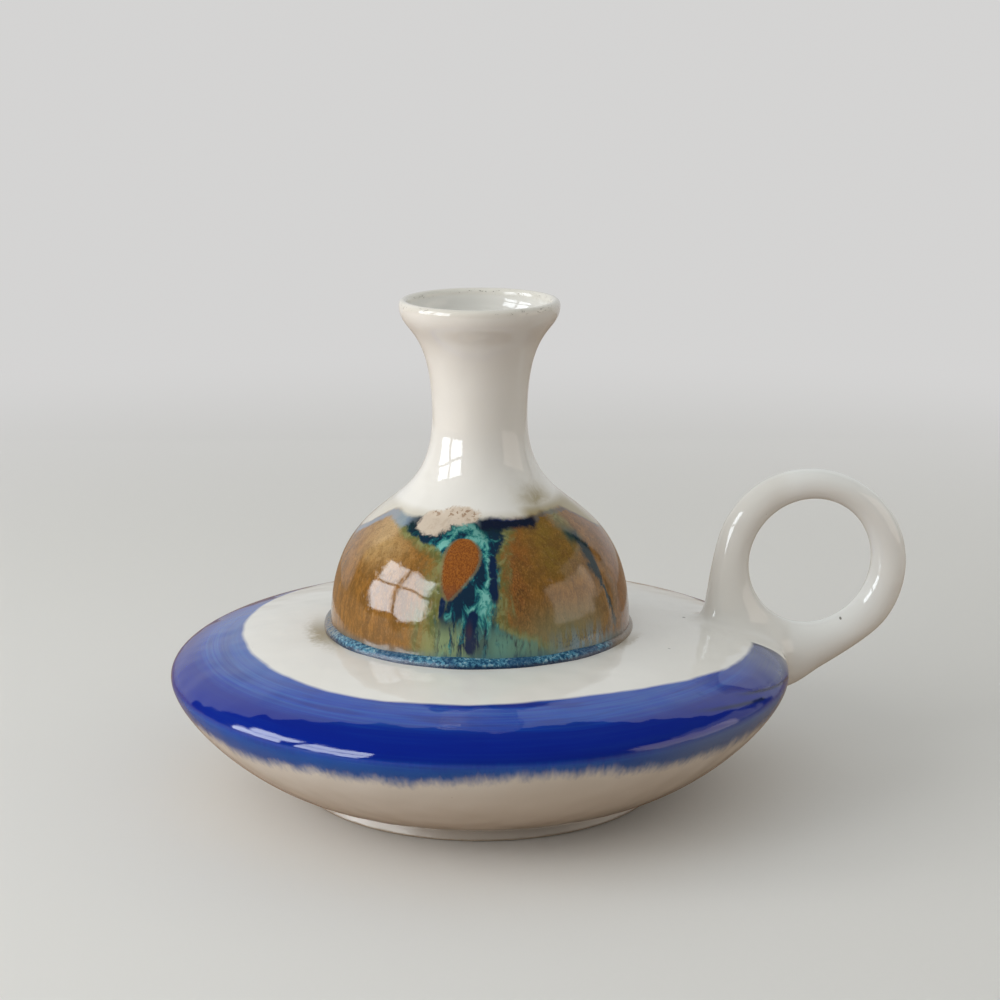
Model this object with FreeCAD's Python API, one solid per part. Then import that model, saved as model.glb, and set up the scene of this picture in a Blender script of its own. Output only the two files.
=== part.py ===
import FreeCAD, Part
import math
import os

# Chamberstick with a finger loop: a thrown and glazed pottery candle holder.
# A hollow round body on a foot carries a bell, and the bell carries a flared candle cup.
# A finger loop of rolled clay is seated on the body's shoulder, on the side of +X.
# Millimetres. The origin is on the axis of the body, on the surface that it stands on.

# Body
disc_radius = 80.0
rim_height = 31.1
body_wall = 4.5
floor_thickness = 4.5
underside_reach = 17.4
underside_slope_share = 0.19
rim_lower_swell = 6.2
rim_upper_swell = 7.9
deck_reach = 11.4
deck_rise = 0.5
vent_radius = 2.5

# Foot
foot_radius = 46.6
foot_height = 3.0
foot_width = 6.0
foot_taper = 1.1
foot_edge = 0.7

# Seat of the bell on the deck
deck_dome = 11.3
seat_width = 8.4

# Bell
bell_radius = 38.7
bell_height = 55.1
bell_wall = 3.5
bell_swell = 38.2
bell_sweep = 29.0

# Neck and candle cup
neck_radius = 12.15
neck_sweep = 23.8
cup_seat_drop = 13.5
cup_floor_thickness = 4.0
socket_radius = 9.7
socket_depth = 20.0
mouth_radius = 20.4
mouth_length = 29.8
mouth_curl = 7.0
lip_width = 2.3
lip_rise = 1.5
funnel_sweep = 9.0
funnel_curl = 6.5

# Roll of pooled glaze round the bell's foot
bead_width = 2.3
bead_height = 2.5
bead_crown_share = 0.78

# Finger loop: its sections turn about the middle of the hole, counted from +X towards +Z.
# Reach is the tube's own thickness in the plane of the loop, width its thickness across it.
loop_hole_radius = 16.9
loop_tube = 8.4
loop_overhang = 8.4
loop_rise = 24.2
root_fillet = 4.0
loop_turns = (0, 30, 60, 90, 120, 150, 175, 192, 206, 222, 240, 258, 276, 296, 325)
reach_shares = (1.1, 0.98, 0.91, 0.95, 1.04, 1.07, 1.11, 1.34, 1.75, 2.15, 2.4, 2.2, 1.5, 1.2, 1.2)
width_shares = (1.04, 1.0, 0.97, 0.96, 0.97, 1.0, 1.0, 1.05, 1.15, 1.25, 1.3, 1.3, 1.2, 1.12, 1.06)

overrun = 5.0
inset_steps = 12
section_steps = 8


def at(radius, height):
    """A point of a profile in the plane through the axis."""
    return FreeCAD.Vector(radius, 0, height)


def line(start, end):
    return Part.LineSegment(start, end)


def bezier(*poles):
    curve = Part.BezierCurve()
    curve.setPoles(list(poles))
    return curve


def closed_curve(points, parameters):
    curve = Part.BSplineCurve()
    curve.interpolate(Points=points, PeriodicFlag=True, Parameters=parameters)
    return curve


def inset(curve, depth):
    """The curve that runs at a fixed depth to the left of another curve."""
    points = []
    for step in range(inset_steps + 1):
        parameter = step / inset_steps
        tangent = curve.tangent(parameter)[0]
        left = FreeCAD.Vector(-tangent.z, 0, tangent.x)
        points.append(curve.value(parameter) + left * depth)
    inner = Part.BSplineCurve()
    inner.interpolate(points)
    return inner


def revolved(edges):
    """The solid that a closed profile makes round the axis."""
    wire = Part.Wire(Part.__sortEdges__([edge.toShape() for edge in edges]))
    return Part.Face(wire).revolve(at(0, 0), FreeCAD.Vector(0, 0, 1), 360)


def profile_solid(curves):
    """The solid between the axis and a chain of curves."""
    first = curves[0].value(curves[0].FirstParameter)
    last = curves[-1].value(curves[-1].LastParameter)
    edges = list(curves)
    if first.x > 0:
        edges.append(line(at(0, first.z), first))
    if last.x > 0:
        edges.append(line(last, at(0, last.z)))
    edges.append(line(at(0, last.z), at(0, first.z)))
    return revolved(edges)


def slab(low, high, radius):
    """A round slab on the axis between two heights."""
    return Part.makeCylinder(radius, high - low, at(0, low))


# The body's outline climbs from the foot to the rim, and the deck runs back in to the bell.

foot_top_radius = foot_radius - foot_taper
deck_edge_radius = bell_radius + bead_width
seat_height = rim_height + deck_dome
neck_height = seat_height + bell_height
cup_seat_height = neck_height - cup_seat_drop
mouth_height = neck_height + mouth_length
loop_offset = disc_radius + loop_overhang
loop_height = rim_height + loop_rise


def underside_curve():
    start = at(foot_top_radius, foot_height)
    leave = start + at(underside_reach, underside_reach * underside_slope_share)
    arrive = at(disc_radius, rim_height - rim_lower_swell)
    return bezier(start, leave, arrive, at(disc_radius, rim_height))


def deck_curve():
    leave = at(disc_radius, rim_height + rim_upper_swell)
    arrive = at(deck_edge_radius + deck_reach, seat_height - deck_rise)
    return bezier(at(disc_radius, rim_height), leave, arrive, at(deck_edge_radius, seat_height))


def body_outside():
    """The body's whole outer form, closed above the foot and under the bell."""
    return profile_solid([underside_curve(), deck_curve()])


def base_bowl():
    """The lower shell, from its flat floor up to the seam at the widest circle."""
    outside = profile_solid([underside_curve()])
    hollow = profile_solid([inset(underside_curve(), body_wall)])
    hollow = hollow.common(slab(foot_height + floor_thickness, rim_height + overrun, disc_radius))
    vent = slab(foot_height - overrun, foot_height + floor_thickness + overrun, vent_radius)
    return outside.cut(hollow).cut(vent)


def foot_ring():
    """The short turned ring under the bowl, with its edges eased."""
    inner_radius = foot_radius - foot_width
    corners = [
        at(inner_radius + foot_edge, 0),
        at(foot_radius - foot_edge, 0),
        at(foot_radius, foot_edge),
        at(foot_top_radius, foot_height),
        at(inner_radius, foot_height),
        at(inner_radius, foot_edge),
    ]
    return revolved([line(start, end) for start, end in zip(corners, corners[1:] + corners[:1])])


def top_deck():
    """The upper shell: a rounded rim and a gently domed deck, open under the bell."""
    outside = profile_solid([deck_curve()])
    hollow = profile_solid([inset(deck_curve(), body_wall)])
    opening = slab(rim_height - overrun, seat_height + overrun, deck_edge_radius - seat_width)
    return outside.cut(hollow).cut(opening)


# The bell and the cup share one flowing line, from the deck up to the lip.

def bell_curve():
    start = at(bell_radius, seat_height)
    end = at(neck_radius, neck_height)
    return bezier(start, start + at(0, bell_swell), end - at(0, bell_sweep), end)


def mouth_curve():
    start = at(neck_radius, neck_height)
    end = at(mouth_radius, mouth_height - lip_rise)
    return bezier(start, start + at(0, neck_sweep), end - at(0, mouth_curl), end)


def candle_bell():
    """The hollow bell, thrown open at the top and seated on the deck."""
    outside = profile_solid([bell_curve()])
    cavity = profile_solid([inset(bell_curve(), bell_wall)])
    return outside.common(slab(seat_height, cup_seat_height, disc_radius)).cut(cavity)


def candle_cup():
    """The cup that holds the candle: a floor, a straight socket and a flared mouth."""
    socket_floor = cup_seat_height + cup_floor_thickness
    throat = at(socket_radius, socket_floor + socket_depth)
    lip_outer = at(mouth_radius, mouth_height - lip_rise)
    lip_inner = lip_outer - at(lip_width, 0)
    lip_top = lip_outer + at(-lip_width / 2, lip_rise)
    curves = [
        bell_curve(),
        mouth_curve(),
        Part.Arc(lip_outer, lip_top, lip_inner),
        bezier(lip_inner, lip_inner - at(0, funnel_curl), throat + at(0, funnel_sweep), throat),
        line(throat, at(socket_radius, socket_floor)),
        line(at(socket_radius, socket_floor), at(0, socket_floor)),
    ]
    return profile_solid(curves).common(slab(cup_seat_height, mouth_height + overrun, disc_radius))


def glaze_bead():
    """The roll of pooled glaze in the corner between the bell and the deck."""
    inner_foot = at(bell_radius - bell_wall / 2, seat_height)
    outer_foot = at(bell_radius + bead_width, seat_height)
    crown = at(bell_radius + bead_width * bead_crown_share, seat_height + bead_height * bead_crown_share)
    top = at(bell_radius - bell_wall / 2, seat_height + bead_height)
    section = [line(inner_foot, outer_foot), Part.Arc(outer_foot, crown, top), line(top, inner_foot)]
    return revolved(section).cut(profile_solid([bell_curve()]))


# The finger loop is a ring of rolled clay, pressed on and worked out over the deck and the rim.

def section_points(turn, reach_share, width_share):
    """The points of one round of the loop, in the plane through the middle of its hole."""
    outward = FreeCAD.Vector(math.cos(math.radians(turn)), 0, math.sin(math.radians(turn)))
    across = FreeCAD.Vector(0, 1, 0)
    half_reach = loop_tube * reach_share / 2
    half_width = loop_tube * width_share / 2
    middle = at(loop_offset, loop_height) + outward * (loop_hole_radius + half_reach)
    angles = [2 * math.pi * step / section_steps for step in range(section_steps)]
    return [
        middle - outward * half_reach * math.cos(angle) + across * half_width * math.sin(angle)
        for angle in angles
    ]


def loop_ring():
    """The whole ring, as one closed skin through all of its sections."""
    rounds = [float(step) for step in range(section_steps + 1)]
    turns = [float(turn) for turn in loop_turns + (loop_turns[0] + 360,)]
    rows = zip(loop_turns, reach_shares, width_shares)
    sections = [closed_curve(section_points(*row), rounds) for row in rows]
    columns = zip(*[section.getPoles() for section in sections])
    threads = [closed_curve(list(column), turns) for column in columns]
    skin = Part.BSplineSurface()
    skin.buildFromPolesMultsKnots(
        [thread.getPoles() for thread in threads],
        sections[0].getMultiplicities(),
        threads[0].getMultiplicities(),
        sections[0].getKnots(),
        threads[0].getKnots(),
        True,
        True,
        sections[0].Degree,
        threads[0].Degree,
    )
    return Part.Solid(Part.Shell([skin.toShape()]))


def root_edges(joined):
    """The edges where the skin of the ring meets the turned body."""
    found = []
    for edge in joined.Edges:
        kinds = {type(face.Surface).__name__ for face in joined.ancestorsOfType(edge, Part.Face)}
        if kinds == {"BSplineSurface", "SurfaceOfRevolution"}:
            found.append(edge)
    return found


def finger_loop():
    """The ring with its root flared on to the body, and the body's form cut away as its seat."""
    body = body_outside()
    joined = loop_ring().fuse(body)
    return joined.makeFillet(root_fillet, root_edges(joined)).cut(body)


builders = (base_bowl, foot_ring, top_deck, candle_bell, candle_cup, glaze_bead, finger_loop)

os.makedirs("parts", exist_ok=True)
for builder in builders:
    shape = builder()
    shape.exportStep("parts/" + builder.__name__ + ".step")
    print(builder.__name__, "solids", len(shape.Solids), "valid", shape.isValid(), "mm3", round(shape.Volume))
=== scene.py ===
import math
import bmesh
import bpy
import numpy as np
from mathutils import Euler, Matrix, Vector
from mathutils.geometry import interpolate_bezier


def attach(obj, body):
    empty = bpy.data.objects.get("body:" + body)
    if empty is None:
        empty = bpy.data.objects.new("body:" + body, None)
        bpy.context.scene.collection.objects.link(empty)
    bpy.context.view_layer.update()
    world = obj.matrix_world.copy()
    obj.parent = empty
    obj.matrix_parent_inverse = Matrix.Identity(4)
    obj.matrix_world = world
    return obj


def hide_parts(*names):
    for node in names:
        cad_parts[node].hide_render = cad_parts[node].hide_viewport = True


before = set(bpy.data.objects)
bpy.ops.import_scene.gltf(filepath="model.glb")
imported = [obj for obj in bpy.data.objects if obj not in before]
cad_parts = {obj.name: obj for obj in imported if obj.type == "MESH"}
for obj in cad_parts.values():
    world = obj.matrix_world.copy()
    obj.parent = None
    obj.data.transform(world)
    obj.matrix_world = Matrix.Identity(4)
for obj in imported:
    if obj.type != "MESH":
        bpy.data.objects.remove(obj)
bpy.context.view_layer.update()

# Sizes in millimetres, as in the part's own source. Meshes are made in metres.

MM = 0.001
MERGE_DISTANCE = 0.000002
SHARP_ANGLE = math.radians(40)

DISC_RADIUS = 80.0
RIM_HEIGHT = 31.1
BODY_WALL = 4.5
VENT_RADIUS = 2.5
FOOT_RADIUS = 46.6
FOOT_TOP_RADIUS = 45.5
FOOT_INNER_RADIUS = 40.6
FOOT_HEIGHT = 3.0
FOOT_EDGE = 0.7
SEAT_HEIGHT = 42.4
DECK_EDGE_RADIUS = 41.0
DECK_OPENING = 32.6
BELL_RADIUS = 38.7
BELL_WALL = 3.5
NECK_RADIUS = 12.15
NECK_HEIGHT = 97.5
CUP_SEAT_HEIGHT = 84.0
SOCKET_FLOOR = 88.0
SOCKET_TOP = 108.0
SOCKET_RADIUS = 9.7
MOUTH_RADIUS = 20.4
LIP_HEIGHT = 125.8
MOUTH_HEIGHT = 127.3
LIP_WIDTH = 2.3
LOOP_CENTRE = (88.4, 55.3)
LOOP_HOLE = 16.9
LOOP_TUBE = 8.4
LOOP_HALF_TUBE = LOOP_TUBE / 2

# The finger loop's turns in degrees, with its thickness in the plane of the loop and across it.
LOOP_TURNS = (0, 30, 60, 90, 120, 150, 175, 192, 206, 222, 240, 258, 276, 296, 325)
LOOP_REACH = (1.1, 0.98, 0.91, 0.95, 1.04, 1.07, 1.11, 1.34, 1.75, 2.15, 2.4, 2.2, 1.5, 1.2, 1.2)
LOOP_WIDTH = (1.04, 1.0, 0.97, 0.96, 0.97, 1.0, 1.0, 1.05, 1.15, 1.25, 1.3, 1.3, 1.2, 1.12, 1.06)

# How far each curve of the profiles runs on in its old direction before it turns.
UNDERSIDE_REACH = 17.4
UNDERSIDE_RISE = 3.3
RIM_LOWER_SWELL = 6.2
RIM_UPPER_SWELL = 7.9
DECK_REACH = 11.4
DECK_RISE = 0.5
BELL_SWELL = 38.2
BELL_SWEEP = 29.0
NECK_SWEEP = 23.8
MOUTH_CURL = 7.0
FUNNEL_CURL = 6.5
FUNNEL_SWEEP = 9.0
SOCKET_CORNER = 1.0

# The roll of pooled glaze starts inside the bell's wall and tucks under its foot.
BEAD_WIDTH = 2.3
BEAD_HEIGHT = 2.5
BEAD_TUCK = 0.6
BEAD_INSET = 1.6

# The loop's root: the breadth of its hollow, how far past it the clay fades, how deep it then dips
# under the body's skin, its gap under that skin, how near the skin the net is drawn on to it, and
# the step over which a slope is taken.
ROOT_BLEND = 7.5
ROOT_FADE = 4.0
ROOT_DIP = 0.12
SKIN_GAP = 0.004
NEAR_SKIN = 2.0
PROBE = 0.05

# Steps of the meshes; the net's size is in metres.
ROUND_STEPS = 288
RING_STEPS = 200
RING_FACETS = 40
SHOULDER_STEPS = 60
SHOULDER_TURN = math.radians(42)
SHOULDER_LOW = 62
SHOULDER_HIGH = 45
NET_SIZE = 0.0006
SETTLING_ROUNDS = 3
PULLS = 3

# The painter's view of the pot, from the camera's side, is turned a little from the part's own axes.
PAINT_TURN = math.radians(9.0)


def smooth_line(start, leave, arrive, end, steps=48):
    """Points of a profile, as radius and height, along one soft curve."""
    poles = [Vector((radius, height, 0)) for radius, height in (start, leave, arrive, end)]
    return [(point.x, point.y) for point in interpolate_bezier(*poles, steps + 1)]


def rounded(centre, radii, start, end, steps=10):
    """Points of a profile round part of an oval, by angle in degrees."""
    points = []
    for step in range(steps + 1):
        angle = math.radians(start + (end - start) * step / steps)
        radius = centre[0] + radii[0] * math.cos(angle)
        points.append((radius, centre[1] + radii[1] * math.sin(angle)))
    return points


def parted(points, height):
    """A rising profile, parted at a height into its lower and its upper run."""
    for index, (low, high) in enumerate(zip(points, points[1:])):
        if low[1] <= height < high[1]:
            share = (height - low[1]) / (high[1] - low[1])
            middle = (low[0] + (high[0] - low[0]) * share, height)
            return points[: index + 1] + [middle], [middle] + points[index + 1:]


UNDERSIDE = smooth_line(
    (FOOT_TOP_RADIUS, FOOT_HEIGHT),
    (FOOT_TOP_RADIUS + UNDERSIDE_REACH, FOOT_HEIGHT + UNDERSIDE_RISE),
    (DISC_RADIUS, RIM_HEIGHT - RIM_LOWER_SWELL),
    (DISC_RADIUS, RIM_HEIGHT),
)
DECK = smooth_line(
    (DISC_RADIUS, RIM_HEIGHT),
    (DISC_RADIUS, RIM_HEIGHT + RIM_UPPER_SWELL),
    (DECK_EDGE_RADIUS + DECK_REACH, SEAT_HEIGHT - DECK_RISE),
    (DECK_EDGE_RADIUS, SEAT_HEIGHT),
)
BELL_LINE = smooth_line(
    (BELL_RADIUS, SEAT_HEIGHT),
    (BELL_RADIUS, SEAT_HEIGHT + BELL_SWELL),
    (NECK_RADIUS, NECK_HEIGHT - BELL_SWEEP),
    (NECK_RADIUS, NECK_HEIGHT),
    steps=120,
)
BELL_SIDE, NECK_SIDE = parted(BELL_LINE, CUP_SEAT_HEIGHT)
MOUTH_SIDE = smooth_line(
    (NECK_RADIUS, NECK_HEIGHT),
    (NECK_RADIUS, NECK_HEIGHT + NECK_SWEEP),
    (MOUTH_RADIUS, LIP_HEIGHT - MOUTH_CURL),
    (MOUTH_RADIUS, LIP_HEIGHT),
)


def finished(name, form, material, node):
    """A finished piece: its mesh goes to the scene, rides on the body and stands for its node."""
    mesh = bpy.data.meshes.new(name)
    form.to_mesh(mesh)
    form.free()
    mesh.polygons.foreach_set("use_smooth", [True] * len(mesh.polygons))
    mesh.set_sharp_from_angle(angle=SHARP_ANGLE)
    mesh.materials.append(material)
    piece = bpy.data.objects.new(name, mesh)
    bpy.context.scene.collection.objects.link(piece)
    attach(piece, "root")
    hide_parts(node)


def thrown(profile, closed=False, wall=0.0):
    """A form turned on the wheel from its profile, with a wall if one is given."""
    form = bmesh.new()
    points = [form.verts.new((radius * MM, 0, height * MM)) for radius, height in profile]
    ends = points[1:] + points[:1] if closed else points[1:]
    edges = [form.edges.new(pair) for pair in zip(points, ends)]
    bmesh.ops.spin(
        form, geom=points + edges, cent=(0, 0, 0), axis=(0, 0, 1), angle=math.tau,
        steps=ROUND_STEPS, use_merge=True, use_duplicate=False,
    )
    bmesh.ops.remove_doubles(form, verts=form.verts, dist=MERGE_DISTANCE)
    bmesh.ops.recalc_face_normals(form, faces=form.faces)
    if wall:
        bmesh.ops.solidify(form, geom=form.faces, thickness=wall * MM)
        bmesh.ops.recalc_face_normals(form, faces=form.faces)
    return form


def bowl_form():
    """The lower shell, with its firing vent."""
    floor_line = [(VENT_RADIUS, FOOT_HEIGHT), (FOOT_INNER_RADIUS, FOOT_HEIGHT)]
    return thrown(floor_line + UNDERSIDE, wall=BODY_WALL)


def deck_form():
    """The upper shell: the rounded rim and the domed deck, open under the bell."""
    return thrown(DECK + [(DECK_OPENING, SEAT_HEIGHT)], wall=BODY_WALL)


def foot_form():
    """The short turned ring, its edges eased."""
    outer = [(FOOT_RADIUS - FOOT_EDGE, 0), (FOOT_RADIUS - 0.15, 0.25), (FOOT_RADIUS, FOOT_EDGE)]
    top = [(FOOT_TOP_RADIUS, FOOT_HEIGHT), (FOOT_INNER_RADIUS, FOOT_HEIGHT)]
    inner = [(FOOT_INNER_RADIUS, FOOT_EDGE), (FOOT_INNER_RADIUS + FOOT_EDGE, 0)]
    return thrown(outer + top + inner, closed=True)


def bell_form():
    """The bell, open at both ends."""
    return thrown(BELL_SIDE, wall=BELL_WALL)


def cup_form():
    """The neck and flared mouth, with a funnel and a straight socket for the candle."""
    lip_size = (LIP_WIDTH / 2, MOUTH_HEIGHT - LIP_HEIGHT)
    lip = rounded((MOUTH_RADIUS - LIP_WIDTH / 2, LIP_HEIGHT), lip_size, 0, 180)
    funnel = smooth_line(
        (MOUTH_RADIUS - LIP_WIDTH, LIP_HEIGHT),
        (MOUTH_RADIUS - LIP_WIDTH, LIP_HEIGHT - FUNNEL_CURL),
        (SOCKET_RADIUS, SOCKET_TOP + FUNNEL_SWEEP),
        (SOCKET_RADIUS, SOCKET_TOP),
    )
    socket = [
        (SOCKET_RADIUS, SOCKET_FLOOR + SOCKET_CORNER),
        (SOCKET_RADIUS - SOCKET_CORNER, SOCKET_FLOOR),
        (0, SOCKET_FLOOR),
    ]
    return thrown([(0, CUP_SEAT_HEIGHT)] + NECK_SIDE + MOUTH_SIDE[1:] + lip[1:] + funnel[1:] + socket)


def bead_form():
    """The roll of pooled glaze: its outer edge runs unevenly over the deck."""
    size = (BEAD_WIDTH + BEAD_TUCK, BEAD_HEIGHT)
    roll = rounded((BELL_RADIUS - BEAD_TUCK, SEAT_HEIGHT), size, 0, 90, steps=14)
    inner = BELL_RADIUS - BEAD_INSET
    form = thrown(roll + [(inner, SEAT_HEIGHT + BEAD_HEIGHT), (inner, SEAT_HEIGHT)], closed=True)
    for vertex in form.verts:
        reach = math.hypot(vertex.co.x, vertex.co.y)
        turn = math.atan2(vertex.co.y, vertex.co.x)
        beyond = max(reach / MM - BELL_RADIUS, 0.0)
        swell = 0.5 + 0.2 * math.sin(3 * turn + 1.0) + 0.16 * math.sin(7 * turn + 2.2)
        swell += 0.14 * math.sin(16 * turn)
        side = max(math.sin(turn + math.pi / 2 + PAINT_TURN), 0.0) ** 6
        thinning = 0.3 * (1 - swell) * (1 - side) + 0.6 * side
        reach -= beyond * thinning * MM
        vertex.co.z -= max(vertex.co.z - SEAT_HEIGHT * MM, 0.0) * thinning
        vertex.co.x = reach * math.cos(turn)
        vertex.co.y = reach * math.sin(turn)
    return form


# The finger loop is a ring of rolled clay, worked out over the body with a wet finger.

def share_at(turns, shares):
    """The thickness shares at any turns of the loop, along one soft closed line."""
    knots = np.array(LOOP_TURNS + (LOOP_TURNS[0] + 360,), dtype=float)
    ends = np.array(shares + (shares[0],))
    around = np.concatenate((ends[-2:-1], ends, ends[1:2]))
    spans = np.concatenate((knots[-1:] - knots[-2:-1], np.diff(knots), knots[1:2] - knots[:1]))
    slopes = (around[2:] - around[:-2]) / (spans[1:] + spans[:-1])
    turns = np.mod(turns, 360.0)
    index = np.clip(np.searchsorted(knots, turns, side="right") - 1, 0, len(knots) - 2)
    width = knots[index + 1] - knots[index]
    part = (turns - knots[index]) / width
    rest = 1 - part
    return (
        ends[index] * (1 + 2 * part) * rest ** 2 + ends[index + 1] * (3 - 2 * part) * part ** 2
        + width * part * rest * (slopes[index] * rest - slopes[index + 1] * part)
    )


def ring_form():
    """The rolled ring: a round of clay spun about the middle of the hole, then thinned and widened."""
    form = bmesh.new()
    middle = Vector((LOOP_CENTRE[0], 0, LOOP_CENTRE[1])) * MM
    place = Matrix.Translation(middle + Vector(((LOOP_HOLE + LOOP_HALF_TUBE) * MM, 0, 0)))
    made = bmesh.ops.create_circle(form, segments=RING_FACETS, radius=LOOP_HALF_TUBE * MM, matrix=place)
    edges = list({edge for vertex in made["verts"] for edge in vertex.link_edges})
    bmesh.ops.spin(
        form, geom=made["verts"] + edges, cent=middle, axis=(0, -1, 0), angle=math.tau,
        steps=RING_STEPS, use_merge=True, use_duplicate=False,
    )
    bmesh.ops.remove_doubles(form, verts=form.verts, dist=MERGE_DISTANCE)
    for vertex in form.verts:
        offset = (vertex.co - middle) / MM
        turn = math.atan2(offset.z, offset.x)
        outward = (math.hypot(offset.x, offset.z) - LOOP_HOLE - LOOP_HALF_TUBE) / LOOP_HALF_TUBE
        reach = LOOP_HALF_TUBE * share_at(math.degrees(turn), LOOP_REACH)
        width = share_at(math.degrees(turn), LOOP_WIDTH)
        distance = LOOP_HOLE + reach * (1 + outward)
        offset = Vector((distance * math.cos(turn), offset.y * width, distance * math.sin(turn)))
        vertex.co = middle + offset * MM
    bmesh.ops.recalc_face_normals(form, faces=form.faces)
    return form


def shoulder_form():
    """The piece of the body's shoulder that the loop is pressed on to."""
    form = bmesh.new()
    profile = [point for point in UNDERSIDE if point[0] > SHOULDER_LOW]
    profile += [point for point in DECK[1:] if point[0] > SHOULDER_HIGH]
    points = [form.verts.new((radius * MM, 0, height * MM)) for radius, height in profile]
    face = form.faces.new(points)
    back = Matrix.Rotation(-SHOULDER_TURN / 2, 3, "Z")
    bmesh.ops.rotate(form, verts=form.verts, cent=(0, 0, 0), matrix=back)
    bmesh.ops.spin(
        form, geom=[face] + list(face.edges) + points, cent=(0, 0, 0), axis=(0, 0, 1),
        angle=SHOULDER_TURN, steps=SHOULDER_STEPS, use_merge=False, use_duplicate=False,
    )
    bmesh.ops.recalc_face_normals(form, faces=form.faces)
    return form


def body_depth(places):
    """How far each place is outside the turned body, in millimetres, or inside it where negative."""
    line = np.array(UNDERSIDE + DECK[1:])
    start = line[:-1]
    run = line[1:] - start
    length = np.hypot(run[:, 0], run[:, 1])
    spot = np.stack((np.hypot(places[:, 0], places[:, 1]), places[:, 2]), axis=1)
    best = np.full(len(spot), 1000.0)
    for index in range(len(start)):
        offset = spot - start[index]
        along = np.clip((offset @ run[index]) / length[index] ** 2, 0, 1)
        away = offset - along[:, None] * run[index]
        side = run[index, 1] * offset[:, 0] - run[index, 0] * offset[:, 1]
        gap = np.hypot(away[:, 0], away[:, 1]) * np.where(side >= 0, 1, -1)
        best = np.where(np.abs(gap) < np.abs(best), gap, best)
    return best


def ring_depth(places):
    """How far each place is outside the rolled ring, in millimetres."""
    def level(spot):
        away = spot[:, 0] - LOOP_CENTRE[0]
        up = spot[:, 2] - LOOP_CENTRE[1]
        turn = np.degrees(np.arctan2(up, away))
        reach = LOOP_HALF_TUBE * share_at(turn, LOOP_REACH)
        width = LOOP_HALF_TUBE * share_at(turn, LOOP_WIDTH)
        outward = (np.hypot(away, up) - LOOP_HOLE - reach) / reach
        return np.hypot(outward, spot[:, 1] / width) - 1
    return level(places) / np.maximum(np.linalg.norm(slope_of(level, places), axis=1), 0.02)


def slope_of(depth, places):
    """The direction in which a depth grows fastest, with its rate."""
    steps = np.eye(3) * PROBE
    rates = [(depth(places + step) - depth(places - step)) / (2 * PROBE) for step in steps]
    return np.stack(rates, axis=1)


def worked_root(places):
    """The loop and the shoulder as one soft form; past the root it dips just under the glaze."""
    ring = ring_depth(places)
    past = np.clip((ring - ROOT_BLEND) / ROOT_FADE, 0, 1)
    body = body_depth(places) + ROOT_DIP * past * past * (3 - 2 * past) + SKIN_GAP
    share = np.maximum(ROOT_BLEND - np.abs(ring - body), 0) / ROOT_BLEND
    return np.minimum(ring, body) - share ** 3 * ROOT_BLEND / 6


def loop_form():
    """The ring and its shoulder, joined by a fine even net that is drawn on to the soft form."""
    joined = bmesh.new()
    for source in (ring_form(), shoulder_form()):
        mesh = bpy.data.meshes.new("clay")
        source.to_mesh(mesh)
        source.free()
        joined.from_mesh(mesh)
        bpy.data.meshes.remove(mesh)
    mesh = bpy.data.meshes.new("clay")
    joined.to_mesh(mesh)
    joined.free()
    clay = bpy.data.objects.new("clay", mesh)
    bpy.context.scene.collection.objects.link(clay)
    net = clay.modifiers.new("net", "REMESH")
    net.mode = "VOXEL"
    net.voxel_size = NET_SIZE
    even = bpy.data.meshes.new_from_object(clay.evaluated_get(bpy.context.evaluated_depsgraph_get()))
    bpy.data.objects.remove(clay)
    bpy.data.meshes.remove(mesh)
    form = bmesh.new()
    form.from_mesh(even)
    bpy.data.meshes.remove(even)
    for settling in range(SETTLING_ROUNDS):
        places = np.array([vertex.co for vertex in form.verts]) / MM
        depth = worked_root(places)
        near = np.abs(depth) < NEAR_SKIN
        for _ in range(PULLS):
            spots = places[near]
            slope = slope_of(worked_root, spots)
            rate = np.maximum((slope ** 2).sum(axis=1), 0.2)
            places[near] = spots - slope * (worked_root(spots) / rate)[:, None]
        for vertex, place in zip(form.verts, places):
            vertex.co = place * MM
        if settling < SETTLING_ROUNDS - 1:
            bmesh.ops.smooth_vert(
                form, verts=form.verts, factor=0.5, use_axis_x=True, use_axis_y=True, use_axis_z=True,
            )
    bmesh.ops.recalc_face_normals(form, faces=form.faces)
    return form


# Glazes. A Value is one number of a recipe; plain sums of Values add their nodes.


class Value:
    """One number that changes over the surface."""

    def __init__(self, recipe, socket):
        self.recipe = recipe
        self.socket = socket

    def worked(self, operation, *numbers):
        return self.recipe.value("ShaderNodeMath", {"operation": operation}, *numbers)

    def __add__(self, other):
        return self.worked("ADD", self, other)

    def __radd__(self, other):
        return self.worked("ADD", other, self)

    def __sub__(self, other):
        return self.worked("SUBTRACT", self, other)

    def __rsub__(self, other):
        return self.worked("SUBTRACT", other, self)

    def __mul__(self, other):
        return self.worked("MULTIPLY", self, other)

    def __rmul__(self, other):
        return self.worked("MULTIPLY", other, self)

    def __truediv__(self, other):
        return self.worked("DIVIDE", self, other)

    def __mod__(self, other):
        return self.worked("FLOORED_MODULO", self, other)

    def __pow__(self, other):
        return self.worked("POWER", self, other)

    def __abs__(self):
        return self.worked("ABSOLUTE", self)

    def lesser(self, other):
        return self.worked("MINIMUM", self, other)

    def greater(self, other):
        return self.worked("MAXIMUM", self, other)


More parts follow.
